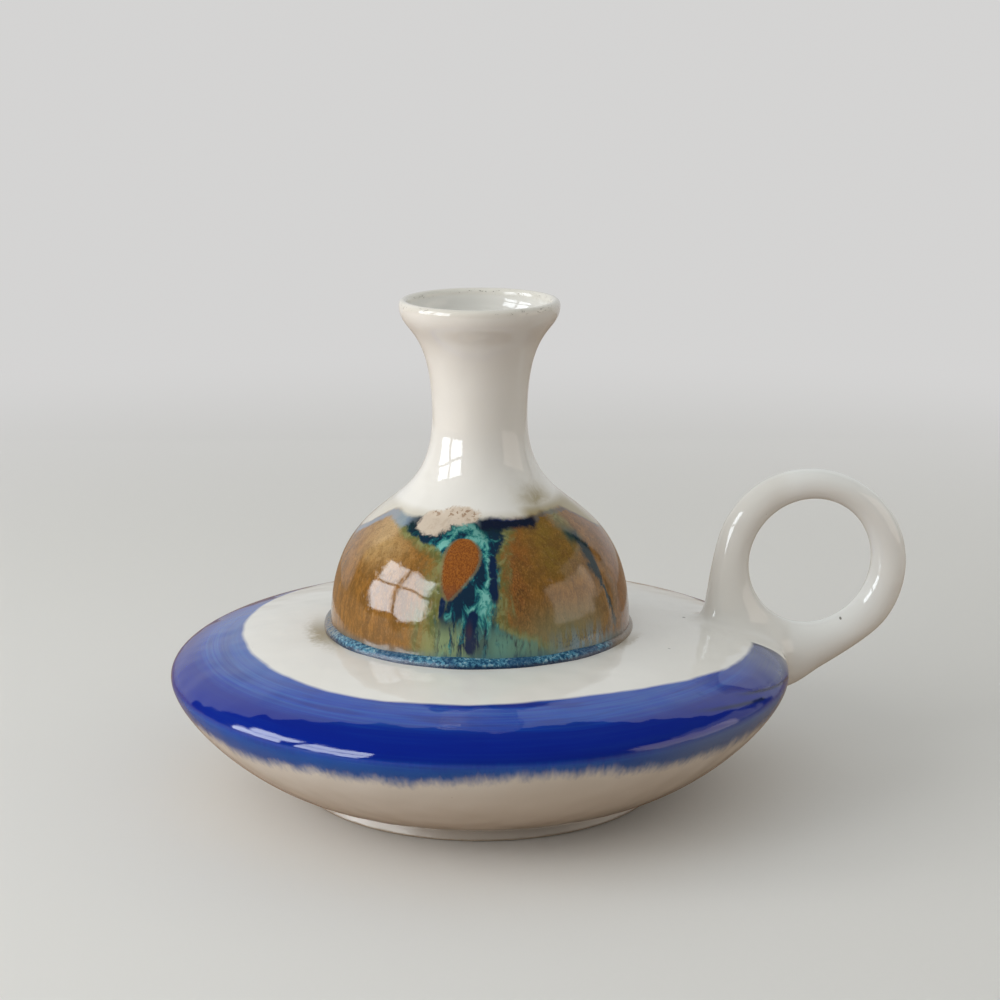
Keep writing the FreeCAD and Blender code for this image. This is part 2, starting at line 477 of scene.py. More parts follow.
class Recipe:
    """The nodes of one glaze, or of a part of the studio, with the few steps that they share."""

    def __init__(self, owner):
        self.owner = owner
        owner.use_nodes = True
        self.tree = owner.node_tree
        self.tree.nodes.clear()

    def node(self, kind, settings, *inputs, **named):
        """A node of one kind, its settings first, then its inputs in their order or by their names."""
        node = self.tree.nodes.new(kind)
        for key, setting in settings.items():
            setattr(node, key, setting)
        for index, given in enumerate(inputs):
            self.feed(node.inputs[index], given)
        for key, given in named.items():
            self.feed(node.inputs[key.replace("_", " ")], given)
        return node

    def feed(self, socket, given):
        """Links or sets a socket, or leaves it alone where nothing is given."""
        if given is None:
            return
        if isinstance(given, Value):
            given = given.socket
        if isinstance(given, bpy.types.NodeSocket):
            self.tree.links.new(given, socket)
        elif socket.type == "RGBA":
            socket.default_value = given + (1.0,)
        else:
            socket.default_value = given

    def value(self, kind, settings, *inputs, **named):
        return Value(self, self.node(kind, settings, *inputs, **named).outputs[0])

    def spot(self):
        """The place on the piece itself, in metres."""
        return self.node("ShaderNodeTexCoord", {}).outputs["Object"]

    def parts(self, spot):
        """The three numbers of a place."""
        return [Value(self, part) for part in self.node("ShaderNodeSeparateXYZ", {}, spot).outputs]

    def place(self):
        """The place on the pot in millimetres, turned to the painter's view, and its parts."""
        turned = (0, 0, PAINT_TURN)
        spot = self.node("ShaderNodeMapping", {}, self.spot(), None, turned, (1 / MM,) * 3).outputs[0]
        across, away, height = self.parts(spot)
        turn = across.worked("ARCTAN2", across, 0 - away) * math.degrees(1)
        reach = (across * across + away * away) ** 0.5
        return spot, across, away, height, turn, reach

    def rays(self, kind):
        """One for rays of the named kind, and nothing for the others."""
        return Value(self, self.node("ShaderNodeLightPath", {}).outputs[kind])

    def soft(self, low, high, value):
        """Rises softly from 0 to 1 as the value goes from low to high."""
        settings = {"interpolation_type": "SMOOTHSTEP"}
        return self.value("ShaderNodeMapRange", settings, value, low, high, 0.0, 1.0)

    def hump(self, centre, half, value):
        """One at the centre, and down to 0 at half a width away."""
        return self.soft(half, 0.0, abs(value - centre))

    def stretched(self, across, away, height):
        return self.node("ShaderNodeCombineXYZ", {}, across, away, height).outputs[0]

    def noise(self, spot, scale, detail=3.0, roughness=0.5, distortion=0.0):
        return self.value(
            "ShaderNodeTexNoise", {}, Vector=spot, Scale=scale, Detail=detail, Roughness=roughness,
            Distortion=distortion,
        )

    def specks(self, spot, scale, size):
        """Small round spots, one at the middle of some cells."""
        cell = self.node("ShaderNodeTexVoronoi", {}, Vector=spot, Scale=scale, Randomness=1.0)
        rare = self.value("ShaderNodeSeparateColor", {}, cell.outputs["Color"])
        near = self.soft(size, size * 0.4, Value(self, cell.outputs["Distance"]))
        return near * self.soft(0.55, 0.6, rare)

    def dot(self, first, second, size):
        """One small round spot, where both offsets are near nothing."""
        return self.soft(size, size * 0.4, (first * first + second * second) ** 0.5)

    def blend(self, share, under, over):
        """The colour over the other one, as far as the share says."""
        settings = {"data_type": "RGBA"}
        return self.node("ShaderNodeMix", settings, share, *[None] * 5, under, over).outputs[2]

    def layered(self, ground, *layers):
        """The ground with layers of glaze run over it, each as far as its share says."""
        for share, over in layers:
            ground = self.blend(share, ground, over)
        return ground

    def mixed(self, share, shader, other):
        return self.node("ShaderNodeMixShader", {}, share, shader, other).outputs[0]

    def fired(self, shader, output="ShaderNodeOutputMaterial"):
        """The finished material or world, with its shader sent to its output."""
        self.node(output, {}, shader)
        return self.owner

    def glazed(self, shade, roughness, height, gloss=0.5, depth=0.0006):
        """A clear glossy glaze over the shade, with a faint uneven skin."""
        bump = self.node("ShaderNodeBump", {}, Strength=1.0, Distance=depth, Height=height).outputs[0]
        glaze = self.node(
            "ShaderNodeBsdfPrincipled", {}, Base_Color=shade, Roughness=roughness, IOR=1.56, Normal=bump,
            Specular_IOR_Level=gloss,
        )
        return self.fired(glaze.outputs[0])


def new_recipe(name):
    return Recipe(bpy.data.materials.new(name))


CREAM = (0.83, 0.82, 0.785)
CREAM_SHADE = (0.79, 0.775, 0.73)
CREAM_SPECK = (0.30, 0.25, 0.19)
# Painted light: a whiter cream that stands for the brighter light on the loop.
PAINTED_LIGHT_CREAM = (0.91, 0.92, 0.905)
OLIVE_HAZE = (0.27, 0.20, 0.06)
TAN_HAZE = (0.30, 0.24, 0.13)
PIT = (0.10, 0.085, 0.07)


def skin(recipe, spot):
    """The slight unevenness of a dipped glaze."""
    return recipe.noise(spot, 0.09, 1.0) * 0.8 + recipe.noise(spot, 0.5, 1.0) * 0.012


def cream_shade(recipe, spot):
    """Cream with soft clouds and rare specks."""
    clouds = recipe.soft(0.35, 0.75, recipe.noise(spot, 0.035, 3.0))
    specks = recipe.specks(spot, 0.16, 0.035)
    return recipe.layered(CREAM, (clouds * 0.6, CREAM_SHADE), (specks * 0.35, CREAM_SPECK))


def body_cream(recipe, spot, across, away, height, turn, reach, wander, bristles):
    """The body's cream: hazed beside the bead, with painted light that makes it whiter on the loop, and
    three small pits.
    """
    left = recipe.hump(-76, 30, turn)
    left = left * recipe.soft(46.5, 42.0, reach + wander * 6.0 + (bristles - 0.5) * 3.0)
    right = recipe.hump(66, 16, turn) * recipe.soft(43.6, 41.6, reach + (bristles - 0.5) * 2.0)
    # Painted light: the loop is given a whiter cream to stand for the brighter light that falls on it.
    loop = recipe.soft(77, 84, reach) * recipe.soft(35, 41, height)
    loop = loop.greater(recipe.soft(80.2, 84, reach))
    pits = recipe.dot(across - 53.7, away - 8.5, 0.6)
    pits = pits.greater(recipe.dot(across - 47.6, away + 20.6, 0.5) * 0.5) * recipe.soft(38, 40, height)
    pits = pits.greater(recipe.dot(across - 95.7, height - 39.7, 0.42) * recipe.soft(16, 14, away))
    return recipe.layered(
        cream_shade(recipe, spot),
        (left * 0.9, OLIVE_HAZE),
        (right * 0.6, TAN_HAZE),
        (loop * 0.9, PAINTED_LIGHT_CREAM),
        (pits * 0.85, PIT),
    )


# The cobalt band, in degrees: it starts on one side of the loop, counted from the near side, and its
# length leads over the near side and the back to the loop's other side.

BAND_START = 87.3
BAND_LENGTH = 336.6
DECK_COBALT = (0.003, 0.052, 0.40)
THIN_COBALT = (0.015, 0.12, 0.46)
LOADED_COBALT = (0.004, 0.022, 0.24)
DRAWN_COBALT = (0.03, 0.13, 0.42)
PALE_COBALT = (0.10, 0.20, 0.46)
# Painted shade: the darker cobalt round the rim stands for the dark that the rim mirrors.
RIM_SHADE_COBALT = (0.0005, 0.012, 0.25)
RUNNING_COBALT = (0.003, 0.085, 0.40)
WASHED_COBALT = (0.15, 0.22, 0.36)
START_COBALT = (0.055, 0.085, 0.20)
PALE_TUFT = (0.16, 0.27, 0.48)
DARK_TUFT = (0.006, 0.05, 0.24)
BRUSH_LINE = (0.003, 0.015, 0.09)


def painted_glaze():
    """Cream glaze with a cobalt band brushed round the rim, from one side of the loop to the other."""
    recipe = new_recipe("painted_glaze")
    spot, across, away, height, turn, reach = recipe.place()
    after_start = (BAND_START - turn) % 360.0
    wander = recipe.noise(spot, 0.06, 2.0) - 0.5
    streaks = recipe.stretched(after_start * 0.022, reach * 1.5, height * 1.2)
    streaks = recipe.noise(streaks, 1.0, 4.0, 0.7)
    broad = recipe.noise(recipe.stretched(after_start * 0.035, reach * 0.25, height * 0.3), 1.0, 2.0)
    bristles = recipe.noise(recipe.stretched(across * 1.1, away * 1.1, height * 0.06), 1.0, 1.0, 0.4)
    tufts = recipe.noise(recipe.stretched(across * 0.22, away * 0.22, height * 0.03), 1.0, 1.0)

    inner = 70.3 - 9.4 * recipe.soft(0, 62, after_start) + 1.4 * recipe.hump(112, 45, after_start)
    inner = inner + 10.0 * recipe.soft(165, 255, after_start) + wander * 2.4 + (streaks - 0.5) * 0.5
    lower = 26.0 + 2.6 * recipe.hump(12, 28, turn) - 1.3 * recipe.hump(-46, 16, turn)
    lower = lower + (tufts - 0.5) * 3.0 + (bristles - 0.5) * 2.2
    band = recipe.soft(-0.8, 0.6, reach - inner) * recipe.soft(-2.2, 2.2, height - lower)
    ends = recipe.soft(0.0, 0.5, after_start)
    band = band * (ends * recipe.soft(BAND_LENGTH, BAND_LENGTH - 0.5, after_start))

    blue = brushed_cobalt(recipe, after_start, turn, height, lower, streaks, broad, bristles)
    blue = recipe.blend(brush_lines(recipe, after_start, turn, height, streaks) * 0.92, blue, BRUSH_LINE)
    cream = body_cream(recipe, spot, across, away, height, turn, reach, wander, bristles)
    brushed = streaks * band * recipe.soft(35.5, 34.0, height)
    relief = skin(recipe, spot) + band * 0.05 + brushed * 0.05
    return recipe.glazed(recipe.blend(band, cream, blue), 0.045, relief, 0.55)


def brushed_cobalt(recipe, after_start, turn, height, lower, streaks, broad, bristles):
    """The band's blues: streaked on the deck, darker round the rim as painted shade, tufted below, washed at
    its start.
    """
    left = recipe.soft(-34, -62, turn) * recipe.soft(37.0, 40.0, height + (streaks - 0.5) * 4.0)
    # Painted shade round the rim, where the glaze mirrors no wall.
    rim_shade = recipe.soft(38.4, 36.4, height + (broad - 0.5) * 3.0)
    rim_shade = rim_shade * recipe.soft(30.5, 32.5, height + (streaks - 0.5) * 1.6)
    low = recipe.soft(32.2, 29.0, height + (bristles - 0.5) * 2.0)
    right = recipe.soft(20, 46, turn) * recipe.soft(94, 84, turn)
    wash = recipe.soft(26, 8, after_start + (streaks - 0.5) * 8.0) * recipe.soft(32.0, 34.0, height)
    tufted = recipe.soft(lower + 3.2, lower + 0.4, height)
    return recipe.layered(
        DECK_COBALT,
        (recipe.soft(0.45, 0.62, streaks) * 0.55, THIN_COBALT),
        (recipe.soft(0.48, 0.66, broad) * 0.7, LOADED_COBALT),
        (recipe.soft(0.46, 0.36, broad) * 0.3, DRAWN_COBALT),
        (left * 0.4, PALE_COBALT),
        (rim_shade * 0.9, RIM_SHADE_COBALT),
        (low * 0.85, RUNNING_COBALT),
        (recipe.soft(33.0, 30.4, height) * right * 0.65, WASHED_COBALT),
        (wash * (0.55 + 0.35 * recipe.soft(0.35, 0.65, streaks)), START_COBALT),
        (tufted * recipe.soft(0.6, 0.4, bristles) * 0.3, PALE_TUFT),
        (tufted * recipe.soft(0.5, 0.62, bristles) * 0.35, DARK_TUFT),
    )


def brush_lines(recipe, after_start, turn, height, streaks):
    """Dark lines left by the brush: along the band's start, and two that fold over the rim there."""
    wobble = (streaks - 0.5) * 0.6
    edge = recipe.hump(1.0, 2.2, after_start + wobble)
    edge = edge.greater(recipe.hump(4.0, 6.0, after_start) * 0.35) * recipe.soft(31.0, 34.0, height)
    fold = recipe.hump(35.6, 0.6, height + (turn - 59.4) * 0.182 + wobble) * recipe.soft(54, 62, turn)
    hook = recipe.hump(35.1, 0.6, height + (turn - 51.5) * 0.135 + wobble) * recipe.soft(40, 52, turn)
    hook = hook * recipe.soft(63.5, 61.5, turn)
    return edge.greater(fold * recipe.soft(84, 78, turn)).greater(hook)


# The bell's glazes. Turns are in degrees from the near side, positive to the loop's side.

IRON_BROWN = (0.31, 0.145, 0.030)
BURNT_BROWN = (0.20, 0.095, 0.020)
# Partly a light brown glaze and partly painted reflection, lighter where the left flank mirrors bright
# light.
TAN_AND_SHEEN = (0.56, 0.38, 0.17)
RUST = (0.27, 0.095, 0.022)
MUSTARD = (0.22, 0.14, 0.024)
LOW_TAN = (0.26, 0.17, 0.075)
EDGE_BROWN = (0.24, 0.11, 0.06)
MOTTLED_BROWN = (0.16, 0.080, 0.020)
BLACK_BROWN = (0.06, 0.040, 0.018)
DARK_GRAIN = (0.13, 0.06, 0.02)
PALE_GRAIN = (0.45, 0.25, 0.09)
MURK = (0.19, 0.23, 0.13)
PALE_DRIP = (0.20, 0.31, 0.37)
DARK_DOT = (0.02, 0.06, 0.14)
FOOT_TEAL = (0.05, 0.16, 0.20)
IRON_SPECK = (0.02, 0.012, 0.01)
OLIVE_SHORE = (0.11, 0.15, 0.05)
GREEN_SHORE = (0.25, 0.29, 0.12)
DEEP_WATER = (0.006, 0.025, 0.055)
DARK_TEAL = (0.008, 0.095, 0.13)
TEAL = (0.055, 0.29, 0.27)
PALE_TEAL = (0.20, 0.52, 0.47)
SEA_GREEN = (0.13, 0.31, 0.24)
LEAF_GREEN = (0.24, 0.33, 0.16)
BLACK_GREEN = (0.006, 0.022, 0.024)
NAVY_RUN = (0.005, 0.020, 0.065)
PLUM = (0.05, 0.03, 0.05)
BLACK_TEAL = (0.006, 0.026, 0.035)
PATCH_TEAL = (0.012, 0.045, 0.05)
DROP_RIM = (0.25, 0.19, 0.09)
DROP_RUST = (0.36, 0.125, 0.022)
DROP_GRAIN = (0.20, 0.060, 0.014)
DROP_TAIL = (0.13, 0.05, 0.04)
LINE_GREY = (0.10, 0.12, 0.14)
LINE_WASHED = (0.24, 0.32, 0.42)
LINE_NAVY = (0.005, 0.010, 0.030)
LINE_GLOW = (0.02, 0.045, 0.24)
EDGE_HAZE = (0.33, 0.26, 0.11)
CLOUD_PINK = (0.69, 0.59, 0.485)
CLOUD_BUFF = (0.53, 0.41, 0.30)
CLOUD_FLECK = (0.28, 0.15, 0.07)


def running_glaze():
    """Brown fields parted by a river of teal and navy, all run down the bell from a dark line."""
    recipe = new_recipe("running_glaze")
    spot, across, away, height, turn, _ = recipe.place()
    runs = recipe.stretched(across, away, height * 0.16)
    drift = recipe.noise(runs, 0.11, 3.0, 0.6) - 0.5
    fine = recipe.noise(runs, 0.6, 4.0, 0.7)
    grain = recipe.noise(recipe.stretched(across, away, height * 0.45), 3.0, 3.0, 0.75)
    mottle = recipe.noise(recipe.stretched(across, away, height * 0.5), 0.4, 4.0, 0.65, 0.8)
    curls = recipe.noise(recipe.stretched(across, away, height * 0.4), 0.46, 4.0, 0.68, 0.6)
    level = height + (recipe.noise(spot, 0.12, 2.0) - 0.5) * 3.0
    bend = turn + drift * 26.0
    shade = brown_fields(recipe, bend, level, fine, grain, mottle)
    shade = river(recipe, shade, turn, bend, height, level, drift, fine, mottle, curls)
    shade = dark_runs(recipe, shade, turn, height, fine, mottle)
    shade = rust_drop(recipe, shade, turn, height, grain)
    shade = low_drips(recipe, shade, spot, turn, height, level, fine, grain)
    shade = upper_edge(recipe, shade, spot, turn, height, fine, mottle, curls)
    relief = skin(recipe, spot) + fine * 0.035 + grain * 0.012
    rough = 0.035 + 0.20 * recipe.soft(0.58, 0.64, recipe.noise(spot, 0.8, 2.0, 0.6))
    return recipe.glazed(shade, rough, relief, 0.55)


def brown_fields(recipe, bend, level, fine, grain, mottle):
    """Iron brown, run into mustard and rust, and on the left into a light brown that is partly painted
    reflection.
    """
    # Partly glaze and partly painted reflection: the left flank is lightened as if it mirrored a bright
    # wall.
    tan_and_sheen = recipe.hump(-54, 28, bend) * recipe.soft(60, 70, level)
    rust = recipe.hump(15, 12, bend) * recipe.soft(48, 60, level)
    mustard = recipe.hump(34, 22, bend) * recipe.soft(58, 66, level)
    low = recipe.hump(38, 26, bend) * recipe.soft(62, 54, level)
    edge = recipe.soft(60, 72, bend) * recipe.soft(100, 80, bend)
    streak = recipe.hump(17, 7, bend) * recipe.soft(44, 52, level) * recipe.soft(70, 62, level)
    return recipe.layered(
        IRON_BROWN,
        (recipe.soft(0.42, 0.60, fine), BURNT_BROWN),
        (tan_and_sheen * 0.85, TAN_AND_SHEEN),
        (rust * 0.8, RUST),
        (mustard * 0.85, MUSTARD),
        (low * 0.6, LOW_TAN),
        (edge * 0.6, EDGE_BROWN),
        (recipe.soft(0.48, 0.60, mottle) * (1.0 - 0.7 * tan_and_sheen) * 0.55, MOTTLED_BROWN),
        (streak * recipe.soft(0.48, 0.6, grain) * 0.55, BLACK_BROWN),
        (recipe.soft(0.50, 0.64, grain) * 0.45, DARK_GRAIN),
        (recipe.soft(0.46, 0.36, grain) * 0.35, PALE_GRAIN),
    )


def river(recipe, shade, turn, bend, height, level, drift, fine, mottle, curls):
    """The teal river with its green shores, and two narrower ones at the back."""
    left = -52.0 + 35.0 * recipe.soft(74.3, 67.5, level) - 3.0 * recipe.soft(60, 48, level)
    right = 17.0 - 9.0 * recipe.soft(75.0, 66.0, level) + 20.0 * recipe.soft(54, 45, level)
    jag = (fine - 0.5) * 16.0 + drift * 8.0
    from_left = turn - left + jag
    from_right = right - turn + jag
    back = recipe.hump(-128, 26, bend).greater(recipe.hump(140, 22, bend))
    shore = recipe.soft(-12, 1, from_left) * recipe.soft(-6, 2, from_right)
    shore = shore.greater(recipe.soft(0.05, 0.4, back))
    shore = shore.greater(recipe.hump(52, 9, turn + jag * 0.5) * recipe.soft(65, 71, level) * 0.7)
    water = recipe.soft(0, 6, from_left) * recipe.soft(0, 5, from_right)
    water = water.greater(recipe.soft(0.35, 0.6, back))
    green = recipe.blend(recipe.soft(0.42, 0.6, mottle), OLIVE_SHORE, GREEN_SHORE)
    return recipe.layered(
        shade,
        (shore * 0.85, green),
        (water, river_water(recipe, turn, height, level, fine, curls)),
    )


def river_water(recipe, turn, height, level, fine, curls):
    """Teal that curls, palest round the rust drop and in two pools below it, and greens lower down."""
    wide = (turn + 8.5) / 9.0
    tall = (height - 66.0) / 6.0
    from_drop = (wide * wide + tall * tall) ** 0.5
    bright = recipe.hump(1.35, 0.5, from_drop) * recipe.soft(63, 69, height)
    bright = bright.greater(recipe.hump(3.5, 5.0, turn) * recipe.hump(64.5, 7.0, height))
    bright = bright.greater(recipe.hump(1.5, 9.5, turn) * recipe.hump(57.5, 8.0, height))
    bright = bright.greater(recipe.hump(-3.0, 14.0, turn) * recipe.hump(71.8, 2.6, height))
    ripple = curls + (bright - 0.32) * 0.23
    low = recipe.soft(56, 48, level) * recipe.soft(0.40, 0.54, fine) * (1.0 - 0.6 * recipe.hump(0, 7, turn))
    high = recipe.soft(70.5, 74.0, level + (curls - 0.5) * 6.0) * (1.0 - 0.6 * bright)
    return recipe.layered(
        DEEP_WATER,
        (recipe.soft(0.43, 0.50, ripple), DARK_TEAL),
        (recipe.soft(0.52, 0.60, ripple), TEAL),
        (recipe.soft(0.60, 0.70, ripple), PALE_TEAL),
        (low * 0.85, recipe.blend(recipe.soft(8, -8, turn), SEA_GREEN, LEAF_GREEN)),
        (high * 0.85, BLACK_GREEN),
    )


def dark_runs(recipe, shade, turn, height, fine, mottle):
    """Navy runs in the river, and a slanting dark streak on the right."""
    sway = (fine - 0.5) * 5.0
    run = recipe.hump(-3.6, 4.4, turn + sway) * recipe.soft(59, 54, height) * recipe.soft(43.5, 47.5, height)
    beside = recipe.hump(5.5, 3.4, turn + sway * 0.5)
    run = run.greater(beside * recipe.soft(56, 60, height) * recipe.soft(71, 67, height))
    run = run.greater(recipe.hump(-15.0, 2.6, turn + sway) * recipe.hump(56.5, 5.0, height))
    run = recipe.soft(0.22, 0.75, run + (mottle - 0.5) * 1.6) * recipe.soft(0.0, 0.2, run)
    core = recipe.hump(-4.0, 1.8, turn + sway * 0.5) * recipe.hump(51.6, 3.4, height)
    slant = turn - 55.0 - 8.0 * recipe.soft(65, 43, height) + sway * 0.6 + (mottle - 0.5) * 8.0
    breadth = 1.9 + 3.0 * recipe.soft(58, 68, height)
    streak = recipe.soft(breadth, breadth * 0.3, abs(slant))
    streak = streak * recipe.soft(43.5, 48, height) * recipe.soft(72.5, 70, height)
    patch = recipe.hump(50.5, 5.0, turn + sway) * recipe.hump(70.5, 3.0, height)
    return recipe.layered(
        shade,
        (run, NAVY_RUN),
        (core * 0.8, PLUM),
        (streak * recipe.soft(38, 54, height), BLACK_TEAL),
        (patch * 0.9, PATCH_TEAL),
    )


def rust_drop(recipe, shade, turn, height, grain):
    """A single rust drop in the river, round above and drawn out to a tail below."""
    rise = ((height - 58.0) / 13.9).greater(0.0).lesser(1.0)
    half = 13.7 * rise ** 0.85 * (1.0 - rise ** 3.0) ** 0.5
    middle = -8.0 - 4.4 * recipe.soft(69, 58, height)
    inside = half - abs(turn - middle) + (grain - 0.5) * 2.6
    there = recipe.soft(0.0, 0.06, rise) * recipe.soft(1.0, 0.985, rise)
    rust = recipe.layered(
        DROP_RUST,
        (recipe.soft(0.38, 0.62, grain), DROP_GRAIN),
        (recipe.soft(63, 58.5, height) * 0.6, DROP_TAIL),
    )
    return recipe.layered(
        shade,
        (recipe.soft(-1.4, -0.2, inside) * there * 0.6, DROP_RIM),
        (recipe.soft(-0.2, 1.2, inside) * there, rust),
    )


def low_drips(recipe, shade, spot, turn, height, level, fine, grain):
    """Murk, pale drips and dark dots low on the right, teal along the foot, and iron specks."""
    murk = recipe.soft(59, 49, level) * recipe.hump(33, 32, turn)
    drips = recipe.soft(52, 45, level) * recipe.hump(43, 26, turn) * recipe.soft(0.45, 0.55, fine)
    dots = recipe.hump(46.5, 3.5, height) * recipe.hump(42, 24, turn) * recipe.soft(0.54, 0.62, grain)
    foot = recipe.soft(46.8, 43.4, height + (fine - 0.5) * 3.0) * recipe.soft(80, 60, abs(turn))
    return recipe.layered(
        shade,
        (murk * 0.6, MURK),
        (drips * 0.8, PALE_DRIP),
        (dots * 0.8, DARK_DOT),
        (foot * 0.6, FOOT_TEAL),
        (recipe.specks(spot, 0.75, 0.10) * 0.6, IRON_SPECK),
    )


def upper_edge(recipe, shade, spot, turn, height, fine, mottle, curls):
    """The wavering dark line where the dipped glaze ends, the cream above it and the pink cloud."""
    waver = (recipe.noise(spot, 0.11, 2.0) - 0.5) * 1.8
    top = 75.8 - 7.0 * recipe.soft(62, 92, abs(turn)) + 3.6 * recipe.soft(100, 165, abs(turn))
    top = top - 1.0 * recipe.hump(-47, 20, turn) + waver + (fine - 0.5) * 1.0
    strong = recipe.soft(-4, 3, turn) * recipe.soft(40, 32, turn)
    strong = strong.greater(recipe.hump(-37, 7, turn)).greater(recipe.soft(96, 125, abs(turn)))
    washed = recipe.soft(-40, -48, turn) * recipe.soft(-110, -96, turn)
    breadth = 0.7 + 1.1 * strong + 1.0 * washed
    from_line = abs(height - top + breadth * 0.6 + (mottle - 0.5) * 2.2)
    line = recipe.soft(breadth, breadth * 0.25, from_line) * (0.55 + 0.45 * strong + 0.2 * washed)
    glow = recipe.soft(-0.9, 0.3, height - top) * recipe.hump(16, 14, turn)
    dark = recipe.layered(
        LINE_GREY,
        (washed, LINE_WASHED),
        (recipe.soft(0.3, 0.9, strong), LINE_NAVY),
        (glow * 0.8, LINE_GLOW),
    )
    return recipe.layered(
        shade,
        (line, dark),
        (recipe.soft(-0.6, 0.5, height - top), hazed_cream(recipe, spot, turn, height, mottle)),
        pink_cloud(recipe, spot, turn, height, mottle, curls),
    )


def hazed_cream(recipe, spot, turn, height, mottle):
    """The cream above the line, with the brown haze that rose into it on the right."""
    smear = height - 78.8 + (mottle - 0.5) * 5.0
    haze = recipe.soft(5.0, -1.5, abs(smear)) * recipe.hump(49, 30, turn)
    risen = recipe.soft(79.0, 76.0, height) * recipe.soft(22, 36, turn) * recipe.soft(110, 80, turn)
    haze = haze.greater(risen)
    haze = haze.greater(recipe.soft(77.5, 75.5, height) * 0.4)
    return recipe.blend(haze * 0.85, cream_shade(recipe, spot), EDGE_HAZE)


def pink_cloud(recipe, spot, turn, height, mottle, curls):
    """The pink cloud on the line, as a layer: how far it covers, and its colour."""
    low_lobe = ((turn + 28.0) / 10.5) ** 2.0 + ((height - 74.5) / 2.5) ** 2.0
    high_lobe = ((turn + 13.5) / 13.0) ** 2.0 + ((height - 76.3) / 2.0) ** 2.0
    cloud = recipe.soft(1.3, 0.6, low_lobe.lesser(high_lobe) + (curls - 0.5) * 2.4)
    flecks = recipe.soft(0.55, 0.62, recipe.noise(spot, 1.0, 2.0)) * recipe.soft(74.6, 76.8, height)
    pink = recipe.layered(
        CLOUD_PINK,
        (recipe.soft(0.45, 0.6, mottle) * 0.4, CLOUD_BUFF),
        (flecks * 0.8, CLOUD_FLECK),
    )
    return cloud * 0.93, pink


LIP_BUFF = (0.70, 0.655, 0.56)
LIP_PIT = (0.16, 0.13, 0.10)


def cream_glaze():
    """Cream glaze, thin and worn dark in small pits round the lip."""
    recipe = new_recipe("cream_glaze")
    spot, across, away, height, _, _ = recipe.place()
    pits = recipe.noise(recipe.stretched(across, away, height * 2.0), 0.85, 3.0, 0.7)
    pits = recipe.soft(0.60, 0.68, pits) * recipe.hump(LIP_HEIGHT + 0.6, 1.2, height)
    pits = pits * recipe.soft(0.45, 0.6, recipe.noise(spot, 0.09, 1.0))
    shade = recipe.layered(
        cream_shade(recipe, spot),
        (recipe.soft(LIP_HEIGHT - 0.8, LIP_HEIGHT + 0.5, height) * 0.35, LIP_BUFF),
        (pits * 0.8, LIP_PIT),
    )
    return recipe.glazed(shade, 0.05, skin(recipe, spot) - pits * 0.15)


BEAD_BLUE = (0.012, 0.065, 0.14)
BEAD_SKY = (0.08, 0.25, 0.37)
BEAD_WHITE = (0.33, 0.47, 0.52)
BEAD_NAVY = (0.015, 0.045, 0.13)
# Partly pooled glaze, partly painted shade in the crease where the roll meets the deck.
BEAD_FOOT_SHADE = (0.006, 0.016, 0.05)
BEAD_BROWN = (0.25, 0.17, 0.09)


def pooled_glaze():
    """Glaze that ran down and gathered: mottled blue and white, darkest along its foot, partly as thick
    pooled glaze and partly as painted shade in the crease on the deck.
    """
    recipe = new_recipe("pooled_glaze")
    spot, _, _, height, turn, _ = recipe.place()
    crackle = recipe.noise(spot, 1.15, 4.0, 0.7, 0.4)
    broad = recipe.noise(spot, 0.10, 2.0)
    # Painted shade, in part: the foot of the roll is darkened in the crease against the deck.
    foot = recipe.soft(43.7, 42.7, height + (crackle - 0.5) * 0.8)
    thin = recipe.soft(-58, -78, turn) * recipe.soft(0.40, 0.56, crackle) + recipe.soft(50, 62, turn)
    shade = recipe.layered(
        BEAD_BLUE,
        (recipe.soft(0.42, 0.54, crackle), BEAD_SKY),
        (recipe.soft(0.56, 0.64, crackle), BEAD_WHITE),
        (recipe.soft(0.5, 0.6, broad) * 0.6, BEAD_NAVY),
        (foot * 0.9, BEAD_FOOT_SHADE),
        (thin * 0.8, BEAD_BROWN),
    )
    return recipe.glazed(shade, 0.07, crackle * 0.25 + skin(recipe, spot))


# Painted shade: the ring's cream and clay are darkened for the shadow under the body; the clay is partly its
# own darker colour and partly painted contact shadow at the edge that stands.
SHADED_CLAY = (0.42, 0.34, 0.26)
SHADED_CLAY_GRIT = (0.34, 0.26, 0.18)
SHADED_FOOT_CREAM = (0.49, 0.44, 0.385)


def foot_clay():
    """Thin cream glaze wiped off the edge that stands, where the bare clay shows; both are painted darker as
    painted shade under the body.
    """
    recipe = new_recipe("foot_clay")
    spot, _, _, height, _, _ = recipe.place()
    wiped = recipe.soft(0.9, 0.35, height + (recipe.noise(spot, 0.5, 2.0) - 0.5) * 0.5)
    grit = recipe.noise(spot, 2.5, 3.0, 0.7)
    # Clay and cream both painted darker: painted shade under the body and at the standing edge.
    clay = recipe.blend(recipe.soft(0.35, 0.7, grit), SHADED_CLAY, SHADED_CLAY_GRIT)
    shade = recipe.blend(wiped, SHADED_FOOT_CREAM, clay)
    relief = grit * wiped * 0.3 + skin(recipe, spot)
    return recipe.glazed(shade, 0.30 + 0.50 * wiped, relief, depth=0.0005)


# The studio, in metres, with the camera on the painter's side of the pot.

